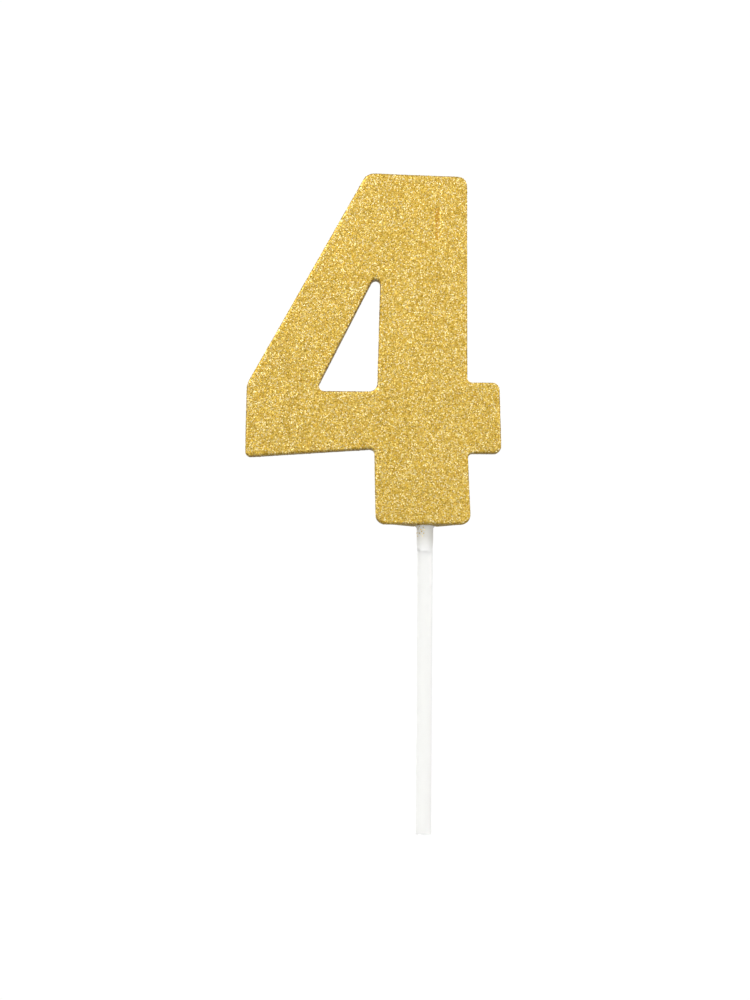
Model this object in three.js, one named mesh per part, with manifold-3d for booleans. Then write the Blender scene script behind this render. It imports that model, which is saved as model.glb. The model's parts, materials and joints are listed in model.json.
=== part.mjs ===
// A birthday candle in the shape of the digit 4, on a clear plastic pick.
//
// A wax casting holds the wick and the top of the pick, and a coat of glitter covers it all over.
// Sizes are in millimetres. +Z is up, +X is to the right seen from the front, and the front faces -Y.
// The origin is the centre of the pick's blunt lower end, and the pick stands on the Z axis.

import * as THREE from 'three';
import { mergeVertices } from 'three/addons/utils/BufferGeometryUtils.js';
import Module from 'manifold-3d';

// ---- Pick: a round moulded rod ------------------------------------------------------------------

const PICK_DIAMETER = 3.15;
const PICK_EXPOSED = 62.1; // from the blunt end to the underside of the numeral
const PICK_TANG = 12; // the length that is held inside the wax
const PICK_CHAMFER = 0.3;
const BARB_COUNT = 3;
const BARB_HEIGHT = 0.18;
const BARB_PITCH = 2.6;
const BARB_RAMP = 1.2; // a barb rises over this length, and drops off square
const BARB_START = 3; // from the underside of the numeral to the first barb

// ---- Numeral: its outline over the coat ---------------------------------------------------------
// Heights are above the numeral's foot. Reaches are sideways from the pick's axis.

const NUMERAL_HEIGHT = 70.51; // at the top left corner
const NUMERAL_THICKNESS = 7;
const TOP_FALL = 0.68; // how much lower the top right corner is

const CROWN_REACH = 12.08; // the top left corner
const TOP_RIGHT_REACH = 8.16;
const STEM_RIGHT_REACH = 8.4; // just above the crossbar
const WAIST_RIGHT_REACH = 8.57; // just under the crossbar
const WAIST_LEFT_REACH = 10.34;
const FOOT_RIGHT_REACH = 9.27;
const FOOT_LEFT_REACH = 10;

const SHOULDER_HEIGHT = 27.95; // where the long slant meets the left end
const SHOULDER_REACH = 35.98;
const LEFT_END_REACH = 36.21; // the left end at its bottom corner
const LEFT_END_HEIGHT = 13.33;
const LEFT_ROOT_HEIGHT = 15.08; // the left underside where it meets the stem

const RIGHT_END_REACH = 15.3; // the short right arm at its bottom corner
const RIGHT_END_TOP_REACH = 14.84;
const RIGHT_UNDERSIDE_HEIGHT = 14.27;
const RIGHT_TOP_HEIGHT = 28.62;

const CROWN_RADIUS = 2.6;
const TOP_RIGHT_RADIUS = 2;
const SHOULDER_RADIUS = 5;
const LEFT_END_RADIUS = 1;
const RIGHT_END_RADIUS = 1.5;
const FOOT_RADIUS = 2;
const INNER_RADIUS = 0.8; // the inside corners between arms and stem

// ---- Counter: the three-cornered hole -----------------------------------------------------------

const COUNTER_FLOOR = 26.76;
const COUNTER_PEAK = 51.93; // where its two long sides would meet
const COUNTER_LEFT_REACH = 22.03;
const COUNTER_RIGHT_REACH = 9.84;
const COUNTER_PEAK_REACH = 9.25;
const COUNTER_PEAK_RADIUS = 0.86;
const COUNTER_LEFT_RADIUS = 1;
const COUNTER_RIGHT_RADIUS = 1.4;

// ---- Coat, wick and adhesive --------------------------------------------------------------------

const COAT_THICKNESS = 0.35;
const EDGE_ROUNDING = 0.25; // of the coated numeral's front and back edges

const WICK_DIAMETER = 1;
const WICK_REACH = 2.1; // to the right of the pick's axis
const WICK_END_BELOW_TOP = 6.5; // from the numeral's top edge to the end of the wick
const WICK_GROOVE_LENGTH = 6.6; // the stretch that lies in the front face
const WICK_BEND_LENGTH = 8; // over which it comes forward from the middle of the wax
const WICK_OVER_TANG = 1.5; // from the end of the pick to the start of the wick
const WICK_PROUD = 0.1; // how far it stands out of the wax, into the coat
const SLOT_WIDTH = 0.9; // of the bare strip in the front coat, over the end of the wick

const MOUND_REACH = 7.2; // the shallow cone of wax drawn down to the pick, each side of it
const MOUND_DEPTH = 0.65;
const MOUND_MARGIN = 0.6; // from the mound to the front and back faces

const ADHESIVE_WALL = 0.4;
const COLLAR_LENGTH = 5.6; // the film of adhesive that shows below the numeral
const COLLAR_WALL = 0.06;

// ---- Clearances ---------------------------------------------------------------------------------

const BOND_GAP = 0.05; // between pieces that are bonded or cast together
const SEAM_GAP = 0.02; // between neighbouring areas of the coat
const PAST = 1; // how far a cutting solid runs past what it cuts

// ---- Roundness ----------------------------------------------------------------------------------

const OUTLINE_SEGMENTS = 4; // each rounded corner gets twice as many
const EDGE_SEGMENTS = 2;
const ROUND_SEGMENTS = 32;
const WICK_SEGMENTS = 10;
const WICK_STEPS = 36;

// ---- Sizes that follow --------------------------------------------------------------------------

const pickRadius = PICK_DIAMETER / 2;
const footZ = PICK_EXPOSED;
const pickTopZ = footZ + PICK_TANG;
const halfThickness = NUMERAL_THICKNESS / 2;
const waxInset = COAT_THICKNESS + BOND_GAP;
const waxFaceY = halfThickness - waxInset;
const adhesiveRadius = pickRadius + BOND_GAP + ADHESIVE_WALL;
const socketRadius = adhesiveRadius + BOND_GAP;
const wickRadius = WICK_DIAMETER / 2;
const wickChannelRadius = wickRadius + BOND_GAP;
const wickFaceY = -(waxFaceY + WICK_PROUD - wickRadius);

const wasm = await Module();
wasm.setup();

// ---- Solids -------------------------------------------------------------------------------------

/** A closed geometry as a solid that can be cut and joined. */
function solidOf(geometry) {
  const bare = geometry.clone();
  bare.deleteAttribute('normal');
  bare.deleteAttribute('uv');
  const merged = mergeVertices(bare, 1e-4);
  return new wasm.Manifold(
    new wasm.Mesh({
      numProp: 3,
      vertProperties: new Float32Array(merged.attributes.position.array),
      triVerts: new Uint32Array(merged.index.array),
    }),
  );
}

/** A solid as a geometry for a mesh. */
function geometryOf(solid) {
  const { vertProperties, triVerts } = solid.getMesh();
  const geometry = new THREE.BufferGeometry();
  geometry.setAttribute('position', new THREE.BufferAttribute(vertProperties, 3));
  geometry.setIndex(new THREE.BufferAttribute(triVerts, 1));
  geometry.computeVertexNormals();
  return geometry;
}

/** The solid turned about the Z axis from [radius, height] points. */
function turned(profile) {
  const points = profile.map(([radius, height]) => new THREE.Vector2(radius, height));
  return new THREE.LatheGeometry(points, ROUND_SEGMENTS).rotateX(Math.PI / 2);
}

/** A box from its lowest to its highest corner. */
function boxBetween(low, high) {
  const size = high.map((value, i) => value - low[i]);
  const middle = high.map((value, i) => (value + low[i]) / 2);
  return new THREE.BoxGeometry(...size).translate(...middle);
}

// ---- Outlines -----------------------------------------------------------------------------------

/**
 * A closed outline from sharp corners, each rounded to its own radius.
 * Corners run anticlockwise. The outline lies `inset` inside the one that the corners give.
 */
function roundedOutline(corners, inset, PathType) {
  const path = new PathType();
  corners.forEach((corner, i) => {
    const before = corners[(i + corners.length - 1) % corners.length];
    const after = corners[(i + 1) % corners.length];
    const arriving = new THREE.Vector2().subVectors(corner.at, before.at).normalize();
    const leaving = new THREE.Vector2().subVectors(after.at, corner.at).normalize();
    const turn = arriving.cross(leaving);
    const convex = turn > 0;
    const inward = convex ? 1 : -1;
    const halfTurn = Math.acos(arriving.dot(leaving)) / 2;
    const tangent = corner.radius * Math.tan(halfTurn);
    const start = corner.at.clone().addScaledVector(arriving, -tangent);
    const normal = new THREE.Vector2(-arriving.y, arriving.x).multiplyScalar(inward);
    const centre = start.addScaledVector(normal, corner.radius);
    const radius = corner.radius - inward * inset;
    const from = Math.atan2(-normal.y, -normal.x);
    const sweep = 2 * halfTurn * inward;
    path.absarc(centre.x, centre.y, radius, from, from + sweep, !convex);
  });
  path.closePath();
  return path;
}

const corner = (x, height, radius) => ({ at: new THREE.Vector2(x, footZ + height), radius });

const numeralCorners = [
  corner(-FOOT_LEFT_REACH, 0, FOOT_RADIUS),
  corner(FOOT_RIGHT_REACH, 0, FOOT_RADIUS),
  corner(WAIST_RIGHT_REACH, RIGHT_UNDERSIDE_HEIGHT, INNER_RADIUS),
  corner(RIGHT_END_REACH, RIGHT_UNDERSIDE_HEIGHT, RIGHT_END_RADIUS),
  corner(RIGHT_END_TOP_REACH, RIGHT_TOP_HEIGHT, RIGHT_END_RADIUS),
  corner(STEM_RIGHT_REACH, RIGHT_TOP_HEIGHT, INNER_RADIUS),
  corner(TOP_RIGHT_REACH, NUMERAL_HEIGHT - TOP_FALL, TOP_RIGHT_RADIUS),
  corner(-CROWN_REACH, NUMERAL_HEIGHT, CROWN_RADIUS),
  corner(-SHOULDER_REACH, SHOULDER_HEIGHT, SHOULDER_RADIUS),
  corner(-LEFT_END_REACH, LEFT_END_HEIGHT, LEFT_END_RADIUS),
  corner(-WAIST_LEFT_REACH, LEFT_ROOT_HEIGHT, INNER_RADIUS),
];

const counterCorners = [
  corner(-COUNTER_LEFT_REACH, COUNTER_FLOOR, COUNTER_LEFT_RADIUS),
  corner(-COUNTER_RIGHT_REACH, COUNTER_FLOOR, COUNTER_RIGHT_RADIUS),
  corner(-COUNTER_PEAK_REACH, COUNTER_PEAK, COUNTER_PEAK_RADIUS),
];

/** A flat shape pushed along Y from -depth / 2 to depth / 2, with its edges rounded. */
function slab(shape, depth, rounding) {
  const geometry = new THREE.ExtrudeGeometry(shape, {
    depth: depth - 2 * rounding,
    curveSegments: OUTLINE_SEGMENTS,
    bevelEnabled: rounding > 0,
    bevelThickness: rounding,
    bevelSize: rounding,
    bevelOffset: -rounding,
    bevelSegments: EDGE_SEGMENTS,
  });
  return geometry.translate(0, 0, rounding - depth / 2).rotateX(Math.PI / 2);
}

/** The cone of wax under the foot, `inset` inside the coat's outer surface. */
function mound(inset) {
  const spindle = turned([
    [0, -1],
    [1, 0],
    [0, 1],
  ]);
  const acrossY = halfThickness - MOUND_MARGIN - inset;
  return spindle.scale(MOUND_REACH - inset, acrossY, MOUND_DEPTH).translate(0, 0, footZ + inset);
}

/** The numeral as one solid, `inset` inside the coat's outer surface. */
function numeralSolid(inset) {
  const shape = roundedOutline(numeralCorners, inset, THREE.Shape);
  shape.holes.push(roundedOutline(counterCorners, -inset, THREE.Path));
  const faces = slab(shape, NUMERAL_THICKNESS - 2 * inset, Math.max(EDGE_ROUNDING - inset, 0));
  return solidOf(faces).add(solidOf(mound(inset)));
}

// ---- Wick ---------------------------------------------------------------------------------------

const topFallPerReach = TOP_FALL / (TOP_RIGHT_REACH + CROWN_REACH);
const topOverWickZ = footZ + NUMERAL_HEIGHT - topFallPerReach * (WICK_REACH + CROWN_REACH);
const wickEndZ = topOverWickZ - WICK_END_BELOW_TOP;
const wickGrooveZ = wickEndZ - WICK_GROOVE_LENGTH;
const wickBendZ = wickGrooveZ - WICK_BEND_LENGTH;
const wickStartZ = pickTopZ + WICK_OVER_TANG;

/** The wick's centre line, run `extra` past both of its ends. */
function wickPath(extra) {
  const at = (y, z) => new THREE.Vector3(WICK_REACH, y, z);
  const bendMiddleZ = (wickBendZ + wickGrooveZ) / 2;
  const path = new THREE.CurvePath();
  path.add(new THREE.LineCurve3(at(0, wickStartZ - extra), at(0, wickBendZ)));
  path.add(
    new THREE.CubicBezierCurve3(
      at(0, wickBendZ),
      at(0, bendMiddleZ),
      at(wickFaceY, bendMiddleZ),
      at(wickFaceY, wickGrooveZ),
    ),
  );
  path.add(new THREE.LineCurve3(at(wickFaceY, wickGrooveZ), at(wickFaceY, wickEndZ + extra)));
  return path;
}

/** A round cord along the wick's path. */
function wickCord(radius, extra) {
  const section = new THREE.Shape();
  section.absarc(0, 0, radius, 0, 2 * Math.PI);
  section.closePath();
  return new THREE.ExtrudeGeometry(new THREE.Shape(section.getPoints(WICK_SEGMENTS / 2)), {
    steps: WICK_STEPS,
    bevelEnabled: false,
    extrudePath: wickPath(extra),
  });
}

// ---- Pick and adhesive --------------------------------------------------------------------------

/** The pick's side from its blunt end up, `grow` outside its surface. */
function pickSide(grow, fromZ, toZ) {
  const radius = pickRadius + grow;
  const side = [[radius, fromZ]];
  for (let i = 0; i < BARB_COUNT; i += 1) {
    const z = footZ + BARB_START + i * BARB_PITCH;
    side.push([radius, z], [radius + BARB_HEIGHT, z + BARB_RAMP], [radius, z + BARB_RAMP + grow]);
  }
  side.push([radius, toZ]);
  return side;
}

const pickGeometry = turned([
  [0, 0],
  [pickRadius - PICK_CHAMFER, 0],
  ...pickSide(0, PICK_CHAMFER, pickTopZ - PICK_CHAMFER),
  [pickRadius - PICK_CHAMFER, pickTopZ],
  [0, pickTopZ],
]);

const collarRadius = pickRadius + BOND_GAP + COLLAR_WALL;
const adhesiveOutside = [
  [collarRadius, footZ - COLLAR_LENGTH + COLLAR_WALL],
  [collarRadius, footZ - MOUND_DEPTH],
  [adhesiveRadius, footZ - MOUND_DEPTH + BOND_GAP],
  [adhesiveRadius, pickTopZ],
];
const adhesiveInside = pickSide(BOND_GAP, footZ - COLLAR_LENGTH, pickTopZ).reverse();
const adhesiveGeometry = turned([...adhesiveOutside, ...adhesiveInside, adhesiveOutside[0]]);

const socket = solidOf(
  turned([
    [0, footZ - MOUND_DEPTH - PAST],
    [socketRadius, footZ - MOUND_DEPTH - PAST],
    [socketRadius, pickTopZ + BOND_GAP],
    [0, pickTopZ + BOND_GAP],
  ]),
);

// ---- Wax and coat -------------------------------------------------------------------------------

const wickChannel = solidOf(wickCord(wickChannelRadius, BOND_GAP));
const wax = numeralSolid(waxInset).subtract(socket).subtract(wickChannel);

/** The strip in front of the wick's end that the coat leaves bare. */
function bareStrip() {
  const strip = new THREE.Shape();
  const radius = SLOT_WIDTH / 2;
  strip.absarc(WICK_REACH, wickEndZ - radius, radius, 0, Math.PI);
  strip.absarc(WICK_REACH, wickGrooveZ + radius, radius, Math.PI, 2 * Math.PI);
  strip.closePath();
  return slab(strip, 2 * PAST, 0).translate(0, -halfThickness, 0);
}

const coat = numeralSolid(0)
  .subtract(numeralSolid(COAT_THICKNESS))
  .subtract(socket)
  .subtract(wickChannel)
  .subtract(solidOf(bareStrip()));

/** The region between two depths, larger than the numeral every other way. */
function between(lowY, highY) {
  const reach = LEFT_END_REACH + RIGHT_END_REACH;
  const low = [-reach, lowY, footZ - MOUND_DEPTH - PAST];
  const high = [reach, highY, footZ + NUMERAL_HEIGHT + PAST];
  return solidOf(boxBetween(low, high));
}

const seamY = halfThickness - COAT_THICKNESS;
const coatEdges = coat.intersect(between(SEAM_GAP - seamY, seamY - SEAM_GAP));
const counterOutline = roundedOutline(counterCorners, -2 * COAT_THICKNESS, THREE.Shape);
const aroundCounter = solidOf(slab(counterOutline, NUMERAL_THICKNESS + PAST, 0));

// ---- Object -------------------------------------------------------------------------------------

const glitterGold = () =>
  new THREE.MeshStandardMaterial({ color: '#d9b95f', roughness: 0.45, metalness: 0.8 });

const materials = {
  wax: new THREE.MeshStandardMaterial({ color: '#e0be66', roughness: 0.55, metalness: 0 }),
  wick: new THREE.MeshStandardMaterial({ color: '#c8912b', roughness: 0.85, metalness: 0 }),
  pick: new THREE.MeshStandardMaterial({
    color: '#f4f5f3',
    roughness: 0.25,
    metalness: 0,
    transparent: true,
    opacity: 0.6,
  }),
  adhesive: new THREE.MeshStandardMaterial({ color: '#e6e3da', roughness: 0.35, metalness: 0 }),
};

const candle = new THREE.Group();

function addPiece(name, geometry, material) {
  const mesh = new THREE.Mesh(geometry, material);
  mesh.name = name;
  candle.add(mesh);
}

addPiece('numeral_body', geometryOf(wax), materials.wax);
addPiece('wick', wickCord(wickRadius, 0), materials.wick);
addPiece('pick', pickGeometry, materials.pick);
addPiece('pick_adhesive', adhesiveGeometry, materials.adhesive);
addPiece(
  'glitter_front',
  geometryOf(coat.intersect(between(-halfThickness - PAST, -seamY))),
  glitterGold(),
);
addPiece(
  'glitter_back',
  geometryOf(coat.intersect(between(seamY, halfThickness + PAST))),
  glitterGold(),
);
addPiece('glitter_edge_outer', geometryOf(coatEdges.subtract(aroundCounter)), glitterGold());
addPiece('glitter_edge_counter', geometryOf(coatEdges.intersect(aroundCounter)), glitterGold());

export default candle;
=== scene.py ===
"""Number birthday candle: a wax digit in a coat of gold glitter, on a clear pick.

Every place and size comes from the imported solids. The coat is grown from them as one skin, real
flakes are scattered over it, and the wick, the pick and its adhesive get finer pieces of their own.
"""

import json
import logging
import math
from collections.abc import Callable, Iterable
from dataclasses import dataclass
from enum import Enum

import bpy
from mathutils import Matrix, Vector

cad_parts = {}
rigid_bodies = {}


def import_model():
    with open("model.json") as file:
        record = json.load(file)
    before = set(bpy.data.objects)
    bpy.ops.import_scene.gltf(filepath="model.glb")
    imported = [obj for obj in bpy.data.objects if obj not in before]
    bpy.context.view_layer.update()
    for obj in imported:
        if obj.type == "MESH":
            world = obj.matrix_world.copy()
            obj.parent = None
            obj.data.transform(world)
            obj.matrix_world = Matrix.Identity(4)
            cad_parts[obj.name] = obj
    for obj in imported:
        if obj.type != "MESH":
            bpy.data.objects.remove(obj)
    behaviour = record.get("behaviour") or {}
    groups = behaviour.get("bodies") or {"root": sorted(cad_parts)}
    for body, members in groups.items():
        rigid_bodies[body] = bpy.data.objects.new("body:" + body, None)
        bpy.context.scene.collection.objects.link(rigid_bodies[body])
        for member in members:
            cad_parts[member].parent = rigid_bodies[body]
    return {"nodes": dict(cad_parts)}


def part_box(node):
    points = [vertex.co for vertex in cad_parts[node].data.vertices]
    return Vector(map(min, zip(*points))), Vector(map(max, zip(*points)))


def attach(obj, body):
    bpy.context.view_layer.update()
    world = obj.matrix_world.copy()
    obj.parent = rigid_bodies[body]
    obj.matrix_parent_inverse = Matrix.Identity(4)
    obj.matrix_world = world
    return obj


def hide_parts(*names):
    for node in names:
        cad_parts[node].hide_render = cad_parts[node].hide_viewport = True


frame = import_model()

MM = 0.001
MERGE = 0.001 * MM  # corners that lie closer than this are one
WHITE = (1.0, 1.0, 1.0, 1.0)
PAPER_GLOW = 1.02  # just over white, so that the sweep shows no tone
ROOT = "root"

log = logging.getLogger("candle")


# ---- Colour and nodes ---------------------------------------------------------------------------


def linear(hex_colour: str) -> tuple[float, float, float, float]:
    """Turns an sRGB hex colour into the linear values that a shader takes.

    Args:
        hex_colour: "#rrggbb".

    Returns:
        Red, green and blue from 0 to 1, and an alpha of 1.
    """
    parts = [int(hex_colour[i : i + 2], 16) / 255 for i in (1, 3, 5)]
    low, knee = 12.92, 0.04045
    return (*(p / low if p <= knee else ((p + 0.055) / 1.055) ** 2.4 for p in parts), 1.0)


def add_node(
    tree: bpy.types.NodeTree,
    kind: str,
    values: dict[str | int, object] | None = None,
    links: dict[str | int, bpy.types.NodeSocket] | None = None,
    **settings: object,
) -> bpy.types.Node:
    """Adds a node with its settings and links.

    Args:
        tree: the node tree that it goes in.
        kind: Blender's name for the node's type.
        values: what each named input holds.
        links: the socket that feeds each named input.
        settings: attributes of the node itself.

    Returns:
        The new node.
    """
    node = tree.nodes.new(kind)
    for name, value in settings.items():
        setattr(node, name, value)
    for name, value in (values or {}).items():
        node.inputs[name].default_value = value
    for name, source in (links or {}).items():
        tree.links.new(source, node.inputs[name])
    return node


def new_surface(name: str, values: dict[str, object]) -> tuple[bpy.types.Material, bpy.types.Node]:
    """Makes a material with one Principled shader.

    Args:
        name: the material's name.
        values: what each of the shader's inputs holds.

    Returns:
        The material and its shader node.
    """
    material = bpy.data.materials.new(name)
    material.use_nodes = True
    material.node_tree.nodes.clear()
    shader = add_node(material.node_tree, "ShaderNodeBsdfPrincipled", values)
    add_node(
        material.node_tree,
        "ShaderNodeOutputMaterial",
        links={"Surface": shader.outputs["BSDF"]},
    )
    return material, shader


def feed(shader: bpy.types.Node, name: str, source: bpy.types.NodeSocket) -> None:
    """Links a socket to one of a shader's inputs."""
    shader.id_data.links.new(source, shader.inputs[name])


def ramp(
    tree: bpy.types.NodeTree,
    source: bpy.types.NodeSocket,
    stops: Iterable[tuple[float, tuple[float, float, float, float]]],
) -> bpy.types.Node:
    """Adds a colour ramp.

    Args:
        tree: the node tree that it goes in.
        source: the socket that it reads.
        stops: the place and colour of each stop, two or more.

    Returns:
        The ramp node.
    """
    node = add_node(tree, "ShaderNodeValToRGB", links={"Fac": source})
    elements = node.color_ramp.elements
    for i, (place, colour) in enumerate(stops):
        stop = elements[i] if i < 2 else elements.new(place)
        stop.position, stop.color = place, colour
    return node


# ---- Finishes -----------------------------------------------------------------------------------


@dataclass(frozen=True)
class GlitterLacquer:
    """Clear lacquer dyed gold, brushed over wax and thick with settled flakes.

    It shows between the loose flakes as a deeper, more saturated gold with a broken glint.
    """

    name: str = "gold_glitter_lacquer"
    deep: str = "#b98f35"
    middle: str = "#cba248"
    pale: str = "#dfbe63"
    flake_mm: float = 0.24
    tilt: float = 0.16
    roughness: float = 0.42

    def material(self) -> bpy.types.Material:
        """Makes the material.

        Returns:
            The material.
        """
        material, shader = new_surface(
            self.name,
            {"Metallic": 0.85, "Coat Weight": 0.35, "Coat Roughness": 0.18},
        )
        tree = material.node_tree
        place = add_node(tree, "ShaderNodeTexCoord").outputs["Object"]
        cells = add_node(
            tree,
            "ShaderNodeTexVoronoi",
            {"Scale": 1 / (self.flake_mm * MM)},
            {"Vector": place},
        )
        pick = add_node(tree, "ShaderNodeSeparateColor", links={"Color": cells.outputs["Color"]})
        colours = ramp(
            tree,
            pick.outputs["Red"],
            (
                (0.0, linear(self.deep)),
                (0.55, linear(self.middle)),
                (1.0, linear(self.pale)),
            ),
        )
        feed(shader, "Base Color", colours.outputs["Color"])
        rough = add_node(
            tree,
            "ShaderNodeMapRange",
            {"To Min": self.roughness - 0.12, "To Max": self.roughness + 0.12},
            {"Value": pick.outputs["Green"]},
        )
        feed(shader, "Roughness", rough.outputs["Result"])
        lean = add_node(
            tree,
            "ShaderNodeVectorMath",
            {1: (0.5, 0.5, 0.5)},
            {0: cells.outputs["Color"]},
            operation="SUBTRACT",
        )
        facing = add_node(tree, "ShaderNodeNewGeometry").outputs["Normal"]
        leaning = add_node(
            tree,
            "ShaderNodeVectorMath",
            {1: (self.tilt,) * 3},
            {0: lean.outputs["Vector"], 2: facing},
            operation="MULTIPLY_ADD",
        )
        normal = add_node(
            tree, "ShaderNodeVectorMath", links={0: leaning.outputs["Vector"]}, operation="NORMALIZE"
        )
        feed(shader, "Normal", normal.outputs["Vector"])
        return material


class FlakeTint(Enum):
    """The golds of the metallised film that the flakes are punched from, deep to pale."""

    DEEP = "#b5932e"
    AMBER = "#c1a03c"
    GOLD = "#cbac4b"
    BRIGHT = "#d3b65a"
    LIGHT = "#dcc471"
    PALE = "#ebd99e"


@dataclass(frozen=True)
class MetallisedFilm:
    """Polyester film with a vacuum-laid metal face and a gold wash, cut into flakes.

    A flake is flat and has one colour, so all the variety is from one flake to the next.
    """

    tint: FlakeTint
    roughness: float = 0.36

    def material(self) -> bpy.types.Material:
        """Makes the material.

        Returns:
            The material.
        """
        values = {
            "Base Color": linear(self.tint.value),
            "Metallic": 1.0,
            "Roughness": self.roughness,
        }
        return new_surface(f"gold_film_{self.tint.name.lower()}", values)[0]


@dataclass(frozen=True)
class CastWax:
    """Paraffin wax cast in a mould and dyed pale gold: dull, waxy and a little cloudy."""

    colour: str = "#e2c170"
    cloud: str = "#d3ae5a"
    cloud_mm: float = 3.0

    def material(self) -> bpy.types.Material:
        """Makes the material.

        Returns:
            The material.
        """
        material, shader = new_surface(
            "cast_wax",
            {
                "IOR": 1.44,
                "Subsurface Weight": 0.3,
                "Subsurface Radius": (0.6, 0.45, 0.2),
                "Subsurface Scale": 2 * MM,
            },
        )
        tree = material.node_tree
        place = add_node(tree, "ShaderNodeTexCoord").outputs["Object"]
        clouds = add_node(
            tree,
            "ShaderNodeTexNoise",
            {"Scale": 1 / (self.cloud_mm * MM), "Detail": 4.0},
            {"Vector": place},
        )
        stops = ((0.3, linear(self.cloud)), (0.7, linear(self.colour)))
        feed(shader, "Base Color", ramp(tree, clouds.outputs["Fac"], stops).outputs["Color"])
        rough = add_node(
            tree,
            "ShaderNodeMapRange",
            {"To Min": 0.45, "To Max": 0.65},
            {"Value": clouds.outputs["Fac"]},
        )
        feed(shader, "Roughness", rough.outputs["Result"])
        return material


# Over the wick's end the stained cotton shows through the lacquer, as a warmer gold.
WICK_LACQUER = GlitterLacquer("wick_stained_lacquer", "#b07c1e", "#c28e2a", "#d4a33e")


@dataclass(frozen=True)
class LacqueredCotton:
    """Braided cotton soaked in wax and stained by the gold lacquer over it."""

    stain: str = "#c08a2a"
    dry: str = "#d9ad57"
    fibre_mm: float = 0.12

    def material(self) -> bpy.types.Material:
        """Makes the material.

        Returns:
            The material.
        """
        material, shader = new_surface(
            "lacquered_cotton", {"Metallic": 0.25, "Sheen Weight": 0.2, "Sheen Roughness": 0.5}
        )
        tree = material.node_tree
        place = add_node(tree, "ShaderNodeTexCoord").outputs["Object"]
        fibres = add_node(
            tree,
            "ShaderNodeTexNoise",
            {"Scale": 1 / (self.fibre_mm * MM), "Detail": 3.0, "Distortion": 0.4},
            {"Vector": place},
        )
        stops = ((0.35, linear(self.stain)), (0.75, linear(self.dry)))
        feed(shader, "Base Color", ramp(tree, fibres.outputs["Fac"], stops).outputs["Color"])
        bump = add_node(
            tree,
            "ShaderNodeBump",
            {"Strength": 0.5, "Distance": 0.03 * MM},
            {"Height": fibres.outputs["Fac"]},
        )
        feed(shader, "Normal", bump.outputs["Normal"])
        rough = add_node(
            tree,
            "ShaderNodeMapRange",
            {"To Min": 0.5, "To Max": 0.8},
            {"Value": fibres.outputs["Fac"]},
        )
        feed(shader, "Roughness", rough.outputs["Result"])
        return material


@dataclass(frozen=True)
class ClearStyrene:
    """Moulded clear polystyrene: almost colourless, a little milky, with fine flow lines."""

    colour: str = "#e5e5e3"
    roughness: float = 0.3
    flow_mm: float = 0.5
    stretch: float = 0.06

    def material(self) -> bpy.types.Material:
        """Makes the material.

        Returns:
            The material.
        """
        material, shader = new_surface(
            "clear_styrene",
            {
                "Base Color": linear(self.colour),
                "IOR": 1.33,
                "Transmission Weight": 0.3,
                "Subsurface Weight": 0.9,
                "Subsurface Radius": (1.0, 1.0, 0.97),
                "Subsurface Scale": 2 * MM,
            },
        )
        tree = material.node_tree
        place = add_node(tree, "ShaderNodeTexCoord").outputs["Object"]
        along = add_node(
            tree, "ShaderNodeMapping", {"Scale": (1.0, 1.0, self.stretch)}, {"Vector": place}
        )
        flow = add_node(
            tree,
            "ShaderNodeTexNoise",
            {"Scale": 1 / (self.flow_mm * MM), "Detail": 3.0},
            {"Vector": along.outputs["Vector"]},
        )
        rough = add_node(
            tree,
            "ShaderNodeMapRange",
            {"To Min": self.roughness - 0.06, "To Max": self.roughness + 0.08},
            {"Value": flow.outputs["Fac"]},
        )
        feed(shader, "Roughness", rough.outputs["Result"])
        bump = add_node(
            tree,
            "ShaderNodeBump",
            {"Strength": 0.25, "Distance": 0.02 * MM},
            {"Height": flow.outputs["Fac"]},
        )
        feed(shader, "Normal", bump.outputs["Normal"])
        return material


@dataclass(frozen=True)
class AdhesiveFilm:
    """Hot-melt adhesive in a cloudy film, greyed by painted shade at the foot, thinning and clearing
    down the pick.
    """

    # The thick colour is greyer: partly the film's own cloud, partly painted shade from the numeral
    # above the foot.
    thick: str = "#cecdc7"
    thin: str = "#e6e6e4"
    ripple_mm: float = 0.6

    def material(self, bottom: float, top: float) -> bpy.types.Material:
        """Makes the material.

        Args:
            bottom: the height of the film's lower edge, in metres.
            top: the height at which it reaches its full thickness and its darkest painted shade.

        Returns:
            The material.
        """
        material, shader = new_surface(
            "adhesive_film",
            {"IOR": 1.4, "Transmission Weight": 0.15},
        )
        tree = material.node_tree
        place = add_node(tree, "ShaderNodeTexCoord").outputs["Object"]
        height = add_node(tree, "ShaderNodeSeparateXYZ", links={"Vector": place})
        thickness = add_node(
            tree,
            "ShaderNodeMapRange",
            {"From Min": bottom, "From Max": top},
            {"Value": height.outputs["Z"]},
        )
        # Greyer towards the foot: the film's cloud, with painted shade from the numeral above.
        stops = ((0.1, linear(self.thin)), (0.6, linear(self.thick)))
        colour = ramp(tree, thickness.outputs["Result"], stops)
        feed(shader, "Base Color", colour.outputs["Color"])
        ripples = add_node(
            tree,
            "ShaderNodeTexNoise",
            {"Scale": 1 / (self.ripple_mm * MM), "Detail": 2.0},
            {"Vector": place},
        )
        rough = add_node(
            tree,
            "ShaderNodeMapRange",
            {"To Min": 0.3, "To Max": 0.5},
            {"Value": ripples.outputs["Fac"]},
        )
        feed(shader, "Roughness", rough.outputs["Result"])
        bump = add_node(
            tree,
            "ShaderNodeBump",
            {"Strength": 0.5, "Distance": 0.05 * MM},
            {"Height": ripples.outputs["Fac"]},
        )
        feed(shader, "Normal", bump.outputs["Normal"])
        return material


# ---- Modelling by hand --------------------------------------------------------------------------


def deselect_all() -> None:
    """Leaves nothing selected."""
    bpy.ops.object.select_all(action="DESELECT")


def activate(piece: bpy.types.Object) -> None:
    """Makes a piece the only selected one, and the active one.

    Args:
        piece: the piece.
    """
    deselect_all()
    piece.select_set(True)
    bpy.context.view_layer.objects.active = piece


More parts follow.
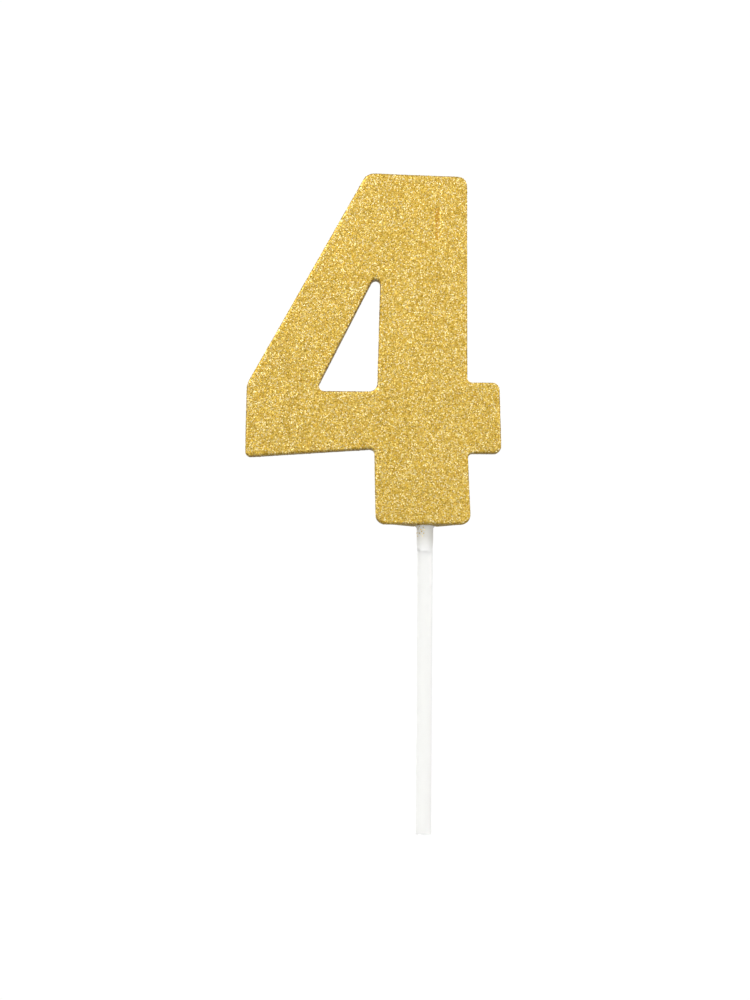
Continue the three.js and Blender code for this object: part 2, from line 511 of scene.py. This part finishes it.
def new_piece(name: str, mesh: bpy.types.Mesh) -> bpy.types.Object:
    """Puts a mesh in the scene as a piece of its own.

    Args:
        name: the piece's name.
        mesh: its mesh.

    Returns:
        The piece.
    """
    piece = bpy.data.objects.new(name, mesh)
    bpy.context.scene.collection.objects.link(piece)
    return piece


def copy_of(name: str, *nodes: str) -> bpy.types.Object:
    """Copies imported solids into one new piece, with the shared corners of each merged.

    Args:
        name: the new piece's name.
        nodes: the names of the solids.

    Returns:
        The piece.
    """
    copies = [new_piece(f"{name}_{node}", frame["nodes"][node].data.copy()) for node in nodes]
    activate(copies[0])
    for copy in copies:
        copy.data.materials.clear()
        copy.select_set(True)
    if len(copies) > 1:
        bpy.ops.object.join()
    piece = copies[0]
    piece.name = name
    bpy.ops.object.mode_set(mode="EDIT")
    bpy.ops.mesh.select_all(action="SELECT")
    bpy.ops.mesh.remove_doubles(threshold=MERGE)
    bpy.ops.object.mode_set(mode="OBJECT")
    return piece


def apply_modifier(piece: bpy.types.Object, kind: str, **settings: object) -> None:
    """Adds a modifier to a piece and applies it.

    Args:
        piece: the piece.
        kind: Blender's name for the modifier's type.
        settings: attributes of the modifier.
    """
    activate(piece)
    modifier = piece.modifiers.new(kind.title(), kind)
    for name, value in settings.items():
        setattr(modifier, name, value)
    bpy.ops.object.modifier_apply(modifier=modifier.name)


def select_faces(piece: bpy.types.Object, wanted: Callable[[Vector, Vector], bool]) -> None:
    """Selects the faces that a test picks, and no others.

    Args:
        piece: the piece.
        wanted: says of a face, from its centre and its normal, whether it is picked.
    """
    activate(piece)
    bpy.ops.object.mode_set(mode="EDIT")
    bpy.ops.mesh.select_mode(type="FACE")
    bpy.ops.mesh.select_all(action="DESELECT")
    bpy.ops.object.mode_set(mode="OBJECT")
    for face in piece.data.polygons:
        face.select = wanted(face.center, face.normal)


def delete_faces(piece: bpy.types.Object, unwanted: Callable[[Vector, Vector], bool]) -> None:
    """Deletes the faces that a test picks.

    Args:
        piece: the piece.
        unwanted: says of a face, from its centre and its normal, whether it goes.
    """
    select_faces(piece, unwanted)
    bpy.ops.object.mode_set(mode="EDIT")
    bpy.ops.mesh.delete(type="FACE")
    bpy.ops.object.mode_set(mode="OBJECT")


def keep_outer_shell(piece: bpy.types.Object) -> None:
    """Keeps the shell that a piece's highest corner is on, and deletes what lies loose inside it.

    Args:
        piece: the piece.
    """
    activate(piece)
    bpy.ops.object.mode_set(mode="EDIT")
    bpy.ops.mesh.select_mode(type="VERT")
    bpy.ops.mesh.select_all(action="DESELECT")
    bpy.ops.object.mode_set(mode="OBJECT")
    max(piece.data.vertices, key=lambda corner: corner.co.z).select = True
    bpy.ops.object.mode_set(mode="EDIT")
    bpy.ops.mesh.select_linked()
    bpy.ops.mesh.select_all(action="INVERT")
    bpy.ops.mesh.delete(type="VERT")
    bpy.ops.object.mode_set(mode="OBJECT")


def smooth(piece: bpy.types.Object, angle: float = 180) -> None:
    """Shades a piece smoothly, except across edges sharper than an angle in degrees."""
    activate(piece)
    bpy.ops.object.shade_smooth_by_angle(angle=math.radians(angle))


def turned(name: str, profile: list[tuple[float, float]], steps: int) -> bpy.types.Object:
    """Spins a profile round the Z axis into a closed piece.

    Args:
        name: the piece's name.
        profile: radius and height of each point, in metres.
        steps: how many faces go round.

    Returns:
        The piece.
    """
    mesh = bpy.data.meshes.new(name)
    corners = [(radius, 0.0, height) for radius, height in profile]
    mesh.from_pydata(corners, [(i, i + 1) for i in range(len(corners) - 1)], [])
    piece = new_piece(name, mesh)
    activate(piece)
    bpy.ops.object.mode_set(mode="EDIT")
    bpy.ops.mesh.select_all(action="SELECT")
    bpy.ops.mesh.spin(steps=steps, angle=2 * math.pi, center=(0, 0, 0), axis=(0, 0, 1))
    bpy.ops.mesh.select_all(action="SELECT")
    bpy.ops.mesh.remove_doubles(threshold=MERGE)
    bpy.ops.mesh.normals_make_consistent(inside=False)
    bpy.ops.object.mode_set(mode="OBJECT")
    return piece


def finish_piece(piece: bpy.types.Object, slot: str, *nodes: str) -> bpy.types.Object:
    """Ties a piece to the candle's body, and hides the solids that it stands for.

    Args:
        piece: the piece.
        slot: the record's material slot that gives its finish; not used.
        nodes: the names of the solids that it replaces, if any.

    Returns:
        The piece.
    """
    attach(piece, ROOT)
    if nodes:
        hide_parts(*nodes)
    log.info("%s: %d faces", piece.name, len(piece.data.polygons))
    return piece


# ---- Coat ---------------------------------------------------------------------------------------


@dataclass(frozen=True)
class Area:
    """One area of the coat that flakes are scattered over.

    Attributes:
        name: what the area is called.
        holds: says of a face, from its centre and normal, whether it is in the area.
        seed: starts the scatter's random draws.
    """

    name: str
    holds: Callable[[Vector, Vector], bool]
    seed: int


@dataclass
class FlakeScatter:
    """Loose hexagonal flakes, strewn over a surface and half sunk in its lacquer."""

    across: float = 0.235 * MM
    depth: float = 0.04 * MM
    spacing: float = 0.183 * MM
    tilt: float = math.radians(8)
    smallest: float = 0.8
    largest: float = 1.15

    def flakes(self) -> list[bpy.types.Object]:
        """Makes one flake of each tint: a flat hexagon whose underside runs down to a point.

        Returns:
            The flakes, in the order of their tints.
        """
        made = []
        for tint in FlakeTint:
            deselect_all()
            bpy.ops.mesh.primitive_cone_add(
                vertices=6,
                radius1=self.across / math.sqrt(3),
                radius2=0,
                depth=self.depth,
                rotation=(math.pi, 0, 0),
            )
            bpy.ops.object.transform_apply(location=True, rotation=True, scale=True)
            flake = bpy.context.active_object
            flake.name = f"flake_{tint.name.lower()}"
            flake.data.materials.append(MetallisedFilm(tint).material())
            made.append(flake)
        return made

    def recipe(
        self, flakes: list[bpy.types.Object], seed: int, spacing: float
    ) -> bpy.types.GeometryNodeTree:
        """Makes the node group that scatters the flakes.

        Args:
            flakes: one flake of each tint.
            seed: starts the random draws.
            spacing: the least distance between two flakes' centres, in metres.

        Returns:
            The node group, which takes a surface and gives back only its flakes.
        """
        tree = bpy.data.node_groups.new("flake_scatter", "GeometryNodeTree")
        for name, side in (("Surface", "INPUT"), ("Flakes", "OUTPUT")):
            tree.interface.new_socket(name, in_out=side, socket_type="NodeSocketGeometry")
        surface = add_node(tree, "NodeGroupInput").outputs["Surface"]
        points = add_node(
            tree,
            "GeometryNodeDistributePointsOnFaces",
            {
                "Distance Min": spacing,
                "Density Max": 3 / spacing**2,
                "Seed": seed,
            },
            {"Mesh": surface},
            distribute_method="POISSON",
        )
        kinds = add_node(tree, "GeometryNodeJoinGeometry")
        for flake in reversed(flakes):
            info = add_node(tree, "GeometryNodeObjectInfo", {"Object": flake})
            single = add_node(
                tree, "GeometryNodeGeometryToInstance", links={"Geometry": info.outputs["Geometry"]}
            )
            tree.links.new(single.outputs["Instances"], kinds.inputs["Geometry"])
        kind = add_node(
            tree,
            "FunctionNodeRandomValue",
            {"Min": 0, "Max": len(flakes) - 1, "Seed": seed + 1},
            data_type="INT",
        )
        size = add_node(
            tree,
            "FunctionNodeRandomValue",
            {"Min": self.smallest, "Max": self.largest, "Seed": seed + 2},
            data_type="FLOAT",
        )
        strewn = add_node(
            tree,
            "GeometryNodeInstanceOnPoints",
            {"Pick Instance": True},
            {
                "Points": points.outputs["Points"],
                "Instance": kinds.outputs["Geometry"],
                "Instance Index": kind.outputs["Value"],
                "Rotation": points.outputs["Rotation"],
                "Scale": size.outputs["Value"],
            },
        )
        turn = add_node(
            tree,
            "FunctionNodeRandomValue",
            {
                "Min": (-self.tilt, -self.tilt, 0.0),
                "Max": (self.tilt, self.tilt, math.pi / 3),
                "Seed": seed + 3,
            },
            data_type="FLOAT_VECTOR",
        )
        tipped = add_node(
            tree,
            "GeometryNodeRotateInstances",
            links={"Instances": strewn.outputs["Instances"], "Rotation": turn.outputs["Value"]},
        )
        real = add_node(
            tree,
            "GeometryNodeRealizeInstances",
            links={"Geometry": tipped.outputs["Instances"]},
        )
        add_node(tree, "NodeGroupOutput", links={"Flakes": real.outputs["Geometry"]})
        return tree

    def strew(
        self, surface: bpy.types.Object, area: Area, flakes: list[bpy.types.Object], sparse: float = 1
    ) -> bpy.types.Object:
        """Scatters flakes over one area of a surface.

        Args:
            surface: the piece that they lie on, which stays as it is.
            area: the area, whose name the new piece takes.
            flakes: one flake of each tint.
            sparse: how many times further apart than usual the flakes lie.

        Returns:
            The flakes, as one piece.
        """
        piece = new_piece(area.name, surface.data.copy())
        piece.data.materials.clear()
        delete_faces(piece, lambda centre, normal: not area.holds(centre, normal))
        recipe = self.recipe(flakes, area.seed, self.spacing * sparse)
        apply_modifier(piece, "NODES", node_group=recipe)
        bpy.data.node_groups.remove(recipe)
        return piece


@dataclass
class GlitterCoat:
    """The coat: a skin of lacquer over the wax, and the flakes on it."""

    grain: float = 0.22 * MM
    softening: int = 2
    kept_faces: float = 0.2
    wall: float = 0.22 * MM
    flake_room: float = 0.09 * MM
    swell: float = 0.05 * MM
    swell_length: float = 7 * MM
    strip_width: float = 1.1 * MM
    strip_sparse: float = 1.35
    strip_dip: float = 0.08 * MM
    pick_gap: float = 0.03 * MM
    flat: float = 0.75
    strip_length: float = 6.8 * MM
    nodes: tuple[str, ...] = (
        "glitter_front",
        "glitter_back",
        "glitter_edge_outer",
        "glitter_edge_counter",
    )

    def skin(self) -> bpy.types.Object:
        """Grows the coat's outer surface as one closed skin, over the wax and the wick's end.

        Returns:
            The skin.
        """
        skin = copy_of("glitter_lacquer", *self.nodes, "numeral_body", "wick")
        apply_modifier(skin, "REMESH", mode="VOXEL", voxel_size=self.grain)
        keep_outer_shell(skin)
        apply_modifier(skin, "SMOOTH", factor=0.5, iterations=self.softening)
        apply_modifier(skin, "DECIMATE", ratio=self.kept_faces)
        lumps = bpy.data.textures.new("coat_swell", "CLOUDS")
        lumps.noise_scale = self.swell_length
        apply_modifier(
            skin, "DISPLACE", strength=-self.flake_room, mid_level=0.0, direction="NORMAL"
        )
        apply_modifier(
            skin,
            "DISPLACE",
            texture=lumps,
            texture_coords="LOCAL",
            strength=self.swell,
            mid_level=1.0,
            direction="NORMAL",
        )
        return skin

    def fill_groove(self, skin: bpy.types.Object, strip: Area) -> None:
        """Fills the groove over the wick's end with lacquer, up to a shallow dip.

        Args:
            skin: the coat's outer surface.
            strip: the strip over the wick.
        """
        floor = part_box("glitter_front")[0].y + self.flake_room + self.strip_dip
        for corner in skin.data.vertices:
            if strip.holds(corner.co, corner.normal):
                corner.co.y = min(corner.co.y, floor)

    def open_for_pick(self, skin: bpy.types.Object) -> None:
        """Opens the underside round the pick, as a clean circle.

        Args:
            skin: the coat's outer surface.
        """
        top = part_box("pick_adhesive")[1].z
        rim = Adhesive.film_radius() + self.pick_gap
        clear = rim + self.grain
        delete_faces(skin, lambda centre, normal: centre.xy.length < clear and centre.z < top + MM)
        for corner in self.loose_corners(skin):
            if corner.co.z < top:
                corner.co.xy = corner.co.xy.normalized() * rim

    def bare_strip(self) -> Area:
        """The strip over the end of the wick, where fewer flakes have stuck.

        Returns:
            The area, which reaches a little way into the groove.
        """
        low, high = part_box("wick")
        middle = (low.x + high.x) / 2
        radius = self.strip_width / 2
        top = high.z - radius + self.grain
        bottom = top - self.strip_length + 2 * radius
        deepest = low.y + radius

        def holds(centre: Vector, normal: Vector) -> bool:
            """Says whether a face lies on the strip."""
            nearest = Vector((middle, min(max(centre.z, bottom), top)))
            return centre.y < deepest and (centre.xz - nearest).length < radius

        return Area("glitter_wick_flakes", holds, seed=90)

    @staticmethod
    def loose_corners(piece: bpy.types.Object) -> list[bpy.types.MeshVertex]:
        """The corners on a piece's open edges.

        Args:
            piece: the piece.

        Returns:
            The corners.
        """
        activate(piece)
        bpy.ops.object.mode_set(mode="EDIT")
        bpy.ops.mesh.select_mode(type="VERT")
        bpy.ops.mesh.select_all(action="DESELECT")
        bpy.ops.mesh.select_non_manifold(extend=False)
        bpy.ops.object.mode_set(mode="OBJECT")
        return [corner for corner in piece.data.vertices if corner.select]

    def areas(self, strip: Area) -> list[Area]:
        """The areas that the flakes are scattered over.

        Args:
            strip: the strip over the wick, which is left out of them.

        Returns:
            The areas, which meet without overlapping.
        """
        low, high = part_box("glitter_front")
        middle = (low.z + high.z) / 2
        hole_low, hole_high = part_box("glitter_edge_counter")
        flat = self.flat

        def in_counter(centre: Vector) -> bool:
            """Says whether a place is on the wall of the counter."""
            return hole_low.x <= centre.x <= hole_high.x and hole_low.z <= centre.z <= hole_high.z

        sides = {
            "front": lambda centre, normal: normal.y < -flat and not strip.holds(centre, normal),
            "back": lambda centre, normal: normal.y > flat,
            "edge": lambda centre, normal: abs(normal.y) <= flat and not in_counter(centre),
        }
        halves = {
            "lower": lambda centre: centre.z < middle,
            "upper": lambda centre: centre.z >= middle,
        }
        holders = {
            f"{side}_flakes_{half}": lambda centre, normal, on=on, inside=inside: on(centre, normal)
            and inside(centre)
            for side, on in sides.items()
            for half, inside in halves.items()
        }
        holders["counter_flakes"] = lambda centre, normal: abs(normal.y) <= flat and in_counter(
            centre
        )
        return [
            Area(f"glitter_{name}", holds, seed=i * 10)
            for i, (name, holds) in enumerate(holders.items())
        ]

    def build(self) -> None:
        """Builds the lacquer and its flakes."""
        skin = self.skin()
        scatter = FlakeScatter()
        flakes = scatter.flakes()
        strip = self.bare_strip()
        self.fill_groove(skin, strip)
        skin.data.materials.clear()
        for finish in (GlitterLacquer(), WICK_LACQUER):
            skin.data.materials.append(finish.material())
        select_faces(skin, strip.holds)
        for face in skin.data.polygons:
            face.material_index = int(face.select)
        self.open_for_pick(skin)
        finish_piece(scatter.strew(skin, strip, flakes, self.strip_sparse), "gold_glitter")
        for area in self.areas(strip):
            finish_piece(scatter.strew(skin, area, flakes), "gold_glitter")
        for flake in flakes:
            bpy.data.objects.remove(flake)
        apply_modifier(skin, "SOLIDIFY", thickness=self.wall, offset=-1, use_rim=True)
        smooth(skin)
        finish_piece(skin, "gold_glitter", *self.nodes)


# ---- Wax, wick, pick and adhesive ---------------------------------------------------------------


class WaxNumeral:
    """The cast digit, which lies under the coat."""

    def dress(self) -> None:
        """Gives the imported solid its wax."""
        body = frame["nodes"]["numeral_body"]
        body.data.materials.clear()
        body.data.materials.append(CastWax().material())


@dataclass
class BraidedWick:
    """Eight strands of cotton, braided round each other along the wick's path."""

    strands: int = 8
    strand_radius: float = 0.14 * MM
    lay: float = 3.2 * MM
    weave: float = 0.05 * MM
    groove_length: float = 6.6 * MM
    bend_length: float = 8 * MM
    step: float = 0.25 * MM
    clearance: float = 0.02 * MM
    end_gap: float = 0.1 * MM

    def centre(self, height: float) -> tuple[Vector, Vector]:
        """Finds the wick's centre line and its direction.

        Args:
            height: the height above the origin, in metres.

        Returns:
            The point of the centre line at that height, and the direction along it.
        """
        low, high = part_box("wick")
        radius = (high.x - low.x) / 2
        front, start = low.y + radius, high.z - self.groove_length - self.bend_length
        along = min(max((height - start) / self.bend_length, 0.0), 1.0)
        eased = along * along * (3 - 2 * along)
        slope = 6 * along * (1 - along) * front / self.bend_length
        point = Vector(((low.x + high.x) / 2, front * eased, height))
        return point, Vector((0, slope, 1)).normalized()

    def build(self) -> None:
        """Builds the braid."""
        low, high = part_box("wick")
        outer = (high.x - low.x) / 2 - self.strand_radius - self.weave - self.clearance
        curve = bpy.data.curves.new("wick_braid", "CURVE")
        curve.dimensions = "3D"
        curve.bevel_depth = self.strand_radius
        curve.bevel_resolution = 1
        curve.use_fill_caps = True
        bottom, top = low.z + self.end_gap, high.z - self.end_gap
        count = round((top - bottom) / self.step)
        for strand in range(self.strands):
            way = 1 if strand % 2 else -1
            phase = 2 * math.pi * strand / self.strands
            spline = curve.splines.new("POLY")
            spline.points.add(count)
            for i, point in enumerate(spline.points):
                height = bottom + (top - bottom) * i / count
                angle = phase + way * 2 * math.pi * (height - bottom) / self.lay
                crossing = math.cos(self.strands / 2 * angle)
                radius = outer + way * self.weave * crossing
                centre, along = self.centre(height)
                across = Vector((1, 0, 0))
                out = along.cross(across)
                place = centre + radius * (math.cos(angle) * across + math.sin(angle) * out)
                point.co = (*place, 1.0)
        braid = bpy.data.objects.new("wick_braid", curve)
        bpy.context.scene.collection.objects.link(braid)
        activate(braid)
        bpy.ops.object.convert(target="MESH")
        braid = bpy.context.active_object
        smooth(braid, 60)
        braid.data.materials.clear()
        braid.data.materials.append(LacqueredCotton().material())
        finish_piece(braid, "cotton", "wick")


@dataclass
class Pick:
    """The clear round rod, with a barbed tang inside the wax."""

    steps: int = 64
    rings: int = 24
    bevel_steps: int = 4
    parting_line: float = 0.03 * MM
    chamfer: float = 0.3 * MM
    barbs: int = 3
    barb_height: float = 0.18 * MM
    barb_pitch: float = 2.6 * MM
    barb_ramp: float = 1.2 * MM
    barb_start: float = 3 * MM
    barb_undercut: float = 0.02 * MM

    def radius(self) -> float:
        """The radius of the rod between its barbs, without the mould's ridge.

        Returns:
            The radius, in metres.
        """
        low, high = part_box("pick")
        return (high.x - low.x) / 2 - self.barb_height - self.parting_line

    def profile(self) -> list[tuple[float, float]]:
        """The pick's side, from its lower end to its tang's end.

        Returns:
            The radius and height of each point, in metres.
        """
        low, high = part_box("pick")
        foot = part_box("glitter_front")[0].z
        radius = self.radius()
        points = [(0.0, low.z)]
        for i in range(self.bevel_steps + 1):
            turn = math.pi / 2 * i / self.bevel_steps
            inward = self.chamfer * (1 - math.sin(turn))
            points.append((radius - inward, low.z + self.chamfer * (1 - math.cos(turn))))
        rise = (foot - low.z) / self.rings
        points += [(radius, low.z + rise * i) for i in range(1, self.rings + 1)]
        for i in range(self.barbs):
            start = foot + self.barb_start + i * self.barb_pitch
            points.append((radius, start))
            points.append((radius + self.barb_height, start + self.barb_ramp))
            points.append((radius, start + self.barb_ramp + self.barb_undercut))
        points.append((radius, high.z - self.chamfer))
        points.append((radius - self.chamfer, high.z))
        points.append((0.0, high.z))
        return points

    def build(self) -> None:
        """Builds the rod, with the fine ridge that the mould's two halves leave."""
        pick = turned("pick_rod", self.profile(), self.steps)
        for corner in pick.data.vertices:
            angle = math.atan2(corner.co.y, corner.co.x)
            if corner.co.xy.length > MM and abs(math.sin(angle)) < 1e-3:
                corner.co.xy += corner.co.xy.normalized() * self.parting_line
        smooth(pick, 40)
        pick.data.materials.append(ClearStyrene().material())
        finish_piece(pick, "clear_plastic", "pick")


@dataclass
class Adhesive:
    """The sleeve of adhesive round the tang, and the film that has run down below the foot."""

    cuts: int = 9
    run: float = 0.9 * MM
    ripple: float = 0.02 * MM
    ripple_length: float = 0.8 * MM
    feather: float = 1.4 * MM
    step_lift: float = 0.35 * MM
    near: float = 0.1 * MM
    stray_top: float = 0.6 * MM
    stray_bottom: float = 2.4 * MM

    @classmethod
    def film_radius(cls) -> float:
        """The outer radius of the film on the pick.

        Returns:
            The radius, in metres.
        """
        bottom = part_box("pick_adhesive")[0].z
        corners = frame["nodes"]["pick_adhesive"].data.vertices
        return max(corner.co.xy.length for corner in corners if corner.co.z < bottom + cls.near)

    def build(self) -> None:
        """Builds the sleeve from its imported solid, with a finer, uneven film."""
        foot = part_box("glitter_front")[0].z
        sleeve = copy_of("adhesive_sleeve", "pick_adhesive")
        self.lift_step(sleeve)
        self.refine(sleeve, foot)
        self.strew_strays(sleeve, foot)
        smooth(sleeve, 35)
        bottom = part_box("pick_adhesive")[0].z
        sleeve.data.materials.append(AdhesiveFilm().material(bottom, foot))
        finish_piece(sleeve, "adhesive", "pick_adhesive")

    def lift_step(self, sleeve: bpy.types.Object) -> None:
        """Lifts the step from the film to the thick sleeve, so that the coat covers it.

        Args:
            sleeve: the piece.
        """
        low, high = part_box("pick_adhesive")
        widest = (high.x - low.x) / 2 - self.near
        step = min(corner.co.z for corner in sleeve.data.vertices if corner.co.xy.length > widest)
        outside = self.film_radius() - self.near / 10
        for corner in sleeve.data.vertices:
            if corner.co.xy.length > outside and abs(corner.co.z - step) < self.near / 2:
                corner.co.z += self.step_lift

    def refine(self, sleeve: bpy.types.Object, foot: float) -> None:
        """Cuts the film into small faces, lets its lower edge run unevenly and ripples it.

        Args:
            sleeve: the piece.
            foot: the height of the numeral's underside, in metres.
        """
        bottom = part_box("pick_adhesive")[0].z
        rod = Pick().radius()
        select_faces(sleeve, lambda centre, normal: centre.z < foot - self.stray_top)
        bpy.ops.object.mode_set(mode="EDIT")
        bpy.ops.mesh.subdivide(number_cuts=self.cuts)
        bpy.ops.object.mode_set(mode="OBJECT")
        for corner in sleeve.data.vertices:
            share = min(max((foot - MM - corner.co.z) / (foot - MM - bottom), 0.0), 1.0)
            angle = math.atan2(corner.co.y, corner.co.x)
            rise = 0.5 + 0.3 * math.sin(2 * angle + 0.7) + 0.2 * math.sin(5 * angle + 2.1)
            corner.co.z += share * rise * self.run
            if share > 0:
                wave = math.sin(3 * angle + corner.co.z / self.ripple_length)
                edge = bottom + rise * self.run
                thinning = 1 - min((corner.co.z - edge) / self.feather, 1.0)
                inward = self.ripple * (0.5 + 0.5 * wave)
                inward += thinning * max(corner.co.xy.length - inward - rod - self.ripple, 0.0)
                corner.co.xy -= corner.co.xy.normalized() * inward

    def strew_strays(self, sleeve: bpy.types.Object, foot: float) -> None:
        """Sticks a few stray flakes to the front left of the film, just under the numeral.

        Args:
            sleeve: the piece.
            foot: the height of the numeral's underside, in metres.
        """
        scatter = FlakeScatter()
        flakes = scatter.flakes()
        patch = Area(
            "glitter_stray_flakes",
            lambda centre, normal: foot - self.stray_bottom < centre.z < foot - self.stray_top
            and centre.x < 0
            and normal.y < -0.2,
            seed=120,
        )
        finish_piece(scatter.strew(sleeve, patch, flakes, sparse=2.4), "gold_glitter")
        for flake in flakes:
            bpy.data.objects.remove(flake)


# ---- Studio -------------------------------------------------------------------------------------


@dataclass(frozen=True)
class Softbox:
    """A square soft light.

    Attributes:
        name: the light's name.
        place: where it stands, in metres.
        side: the length of its side, in metres.
        power: in watts.
    """

    name: str
    place: tuple[float, float, float]
    side: float
    power: float


@dataclass
class Studio:
    """A white sweep, soft lights and the camera."""

    sight_left: float = 10.05 * MM
    sight_height: float = 66.98 * MM
    roll: float = math.radians(0.32)
    camera_height: float = 47 * MM
    distance: float = 875 * MM
    view_height: float = 200 * MM
    sensor: float = 36.0
    patchiness: float = 5.0
    dim: float = 0.62
    floor_width: float = 6.0
    floor_below: float = 0.3 * MM
    softboxes: tuple[Softbox, ...] = (
        Softbox("key_light", (-0.45, -0.8, 0.5), 0.7, 4.0),
        Softbox("fill_light", (0.5, -0.9, 0.2), 0.6, 2.0),
        Softbox("back_key_light", (0.45, 0.8, 0.5), 0.7, 4.0),
        Softbox("back_fill_light", (-0.5, 0.9, 0.2), 0.6, 2.0),
    )

    def camera(self) -> None:
        """Places the camera in front, level with the foot and aimed slightly up."""
        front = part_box("glitter_front")[0].y
        data = bpy.data.cameras.new("camera")
        data.sensor_width = self.sensor
        data.lens = self.sensor * self.distance / self.view_height
        data.clip_start, data.clip_end = 0.05, 20
        camera = bpy.data.objects.new("camera", data)
        bpy.context.scene.collection.objects.link(camera)
        camera.location = (-self.sight_left, front - self.distance, self.camera_height)
        aim = Vector((-self.sight_left, front, self.sight_height)) - camera.location
        camera.rotation_euler = aim.to_track_quat("-Z", "Y").to_euler()
        camera.rotation_euler.rotate_axis("Z", self.roll)
        bpy.context.scene.camera = camera

    def place_light(self, softbox: Softbox) -> None:
        """Adds a soft light, aimed at the numeral.

        Args:
            softbox: the light's name, place, size and power.
        """
        data = bpy.data.lights.new(softbox.name, "AREA")
        data.shape, data.size, data.energy = "SQUARE", softbox.side, softbox.power
        light = bpy.data.objects.new(softbox.name, data)
        bpy.context.scene.collection.objects.link(light)
        light.location = softbox.place
        aim = Vector((-self.sight_left, 0, self.sight_height)) - light.location
        light.rotation_euler = aim.to_track_quat("-Z", "Y").to_euler()

    def surroundings(self) -> None:
        """Sets the world: white behind the candle, and a broken grey room in its reflections."""
        world = bpy.data.worlds.new("studio")
        bpy.context.scene.world = world
        world.use_nodes = True
        tree = world.node_tree
        tree.nodes.clear()
        place = add_node(tree, "ShaderNodeTexCoord").outputs["Generated"]
        patches = add_node(
            tree, "ShaderNodeTexNoise", {"Scale": self.patchiness, "Detail": 2.0}, {"Vector": place}
        )
        room = ramp(
            tree,
            patches.outputs["Fac"],
            ((0.35, (self.dim, self.dim, self.dim, 1.0)), (0.65, WHITE)),
        )
        height = add_node(tree, "ShaderNodeSeparateXYZ", links={"Vector": place})
        lift = add_node(
            tree,
            "ShaderNodeMapRange",
            {"From Min": -0.5, "From Max": 0.6, "To Min": 0.53, "To Max": 1.1},
            {"Value": height.outputs["Z"]},
        )
        lit = add_node(
            tree,
            "ShaderNodeBackground",
            links={"Color": room.outputs["Color"], "Strength": lift.outputs["Result"]},
        )
        white = add_node(tree, "ShaderNodeBackground", {"Color": WHITE, "Strength": PAPER_GLOW})
        rays = add_node(tree, "ShaderNodeLightPath")
        mixed = add_node(
            tree,
            "ShaderNodeMixShader",
            links={0: rays.outputs["Is Glossy Ray"], 1: white.outputs[0], 2: lit.outputs[0]},
        )
        add_node(tree, "ShaderNodeOutputWorld", links={"Surface": mixed.outputs[0]})

    def floor(self) -> None:
        """Lays the white floor, which is seen from above and lights nothing."""
        deselect_all()
        bpy.ops.mesh.primitive_plane_add(
            size=self.floor_width, location=(0, 0, -self.floor_below)
        )
        floor = bpy.context.active_object
        floor.name = "studio_floor"
        material = bpy.data.materials.new("white_sweep")
        material.use_nodes = True
        tree = material.node_tree
        tree.nodes.clear()
        glow = add_node(tree, "ShaderNodeEmission", {"Color": WHITE, "Strength": PAPER_GLOW})
        gone = add_node(tree, "ShaderNodeBsdfTransparent")
        side = add_node(tree, "ShaderNodeNewGeometry")
        mixed = add_node(
            tree,
            "ShaderNodeMixShader",
            links={0: side.outputs["Backfacing"], 1: glow.outputs[0], 2: gone.outputs[0]},
        )
        add_node(tree, "ShaderNodeOutputMaterial", links={"Surface": mixed.outputs[0]})
        floor.data.materials.append(material)
        floor.visible_diffuse = floor.visible_glossy = floor.visible_shadow = False

    def build(self) -> None:
        """Builds the studio round the candle."""
        self.camera()
        self.surroundings()
        self.floor()
        for softbox in self.softboxes:
            self.place_light(softbox)
        bpy.context.scene.view_settings.view_transform = "Standard"


def main() -> None:
    """Builds the candle piece by piece."""
    logging.basicConfig(level=logging.INFO, format="%(name)s: %(message)s")
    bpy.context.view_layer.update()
    Studio().build()
    WaxNumeral().dress()
    BraidedWick().build()
    Pick().build()
    Adhesive().build()
    GlitterCoat().build()


if __name__ == "__main__":
    main()
